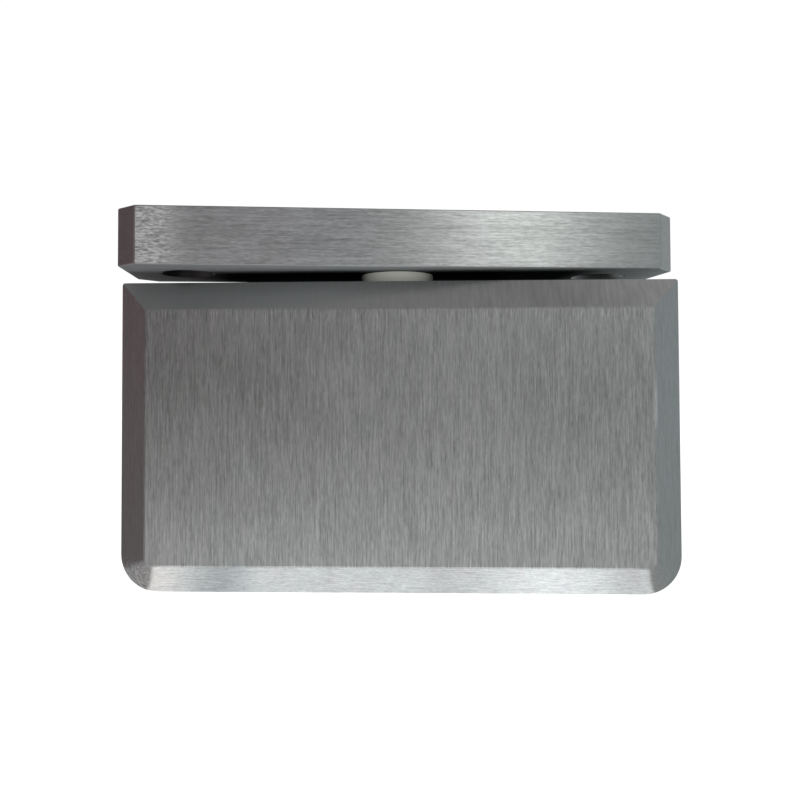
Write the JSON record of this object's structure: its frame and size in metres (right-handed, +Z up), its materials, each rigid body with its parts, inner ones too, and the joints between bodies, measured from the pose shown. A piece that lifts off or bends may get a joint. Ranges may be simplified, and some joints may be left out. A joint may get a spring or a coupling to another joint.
{
  "type": "glass door hinge",
  "caption": "Top or bottom pivot hinge for a frameless glass door: bevelled two-plate glass clamp turning on a pin under a countersunk mounting plate.",
  "frame": {"origin": "on the pivot axis, at the level of the clamp's free lower edge", "axes": "+Z up the pivot axis, towards the header or floor that the mounting plate is fixed to; X along the clamp's width; -Y out of the clamp's front plate"},
  "size_m": [0.0938, 0.033, 0.0627],
  "materials": {
    "satin_steel": "satin, straight-line brushed",
    "turned_steel": "fine turned",
    "screw_steel": "bright, as rolled",
    "spring_steel": "blued, smooth",
    "block_brass": "as machined",
    "bush_nylon": "turned nylon, off-white",
    "gasket_sheet": "matt soft PVC sheet"
  },
  "bodies": {
    "mount": {"mounting_plate": "satin_steel", "pivot_pin": "turned_steel", "pin_lock_screw": "screw_steel", "thrust_washer": "turned_steel", "retaining_ring": "spring_steel"},
    "clamp": {"front_plate": "satin_steel", "back_plate": "satin_steel", "front_gasket": "gasket_sheet", "back_gasket": "gasket_sheet", "pivot_block": "block_brass", "block_cap": "block_brass", "thrust_bush": "bush_nylon", "lower_bush": "bush_nylon", "leaf_spring_front": "spring_steel", "leaf_spring_back": "spring_steel", "clamp_screws": "screw_steel", "block_screws": "screw_steel", "cap_screws": "screw_steel", "screw_sleeve_left": "bush_nylon", "screw_sleeve_right": "bush_nylon"}
  },
  "joints": [
    {"name": "door_swing", "type": "hinge", "parent": "mount", "child": "clamp", "pos_m": [0, 0, 0.0513], "axis": [0, 0, 1], "range_deg": [-90, 90], "deforming": ["leaf_spring_front", "leaf_spring_back"]}
  ]
}
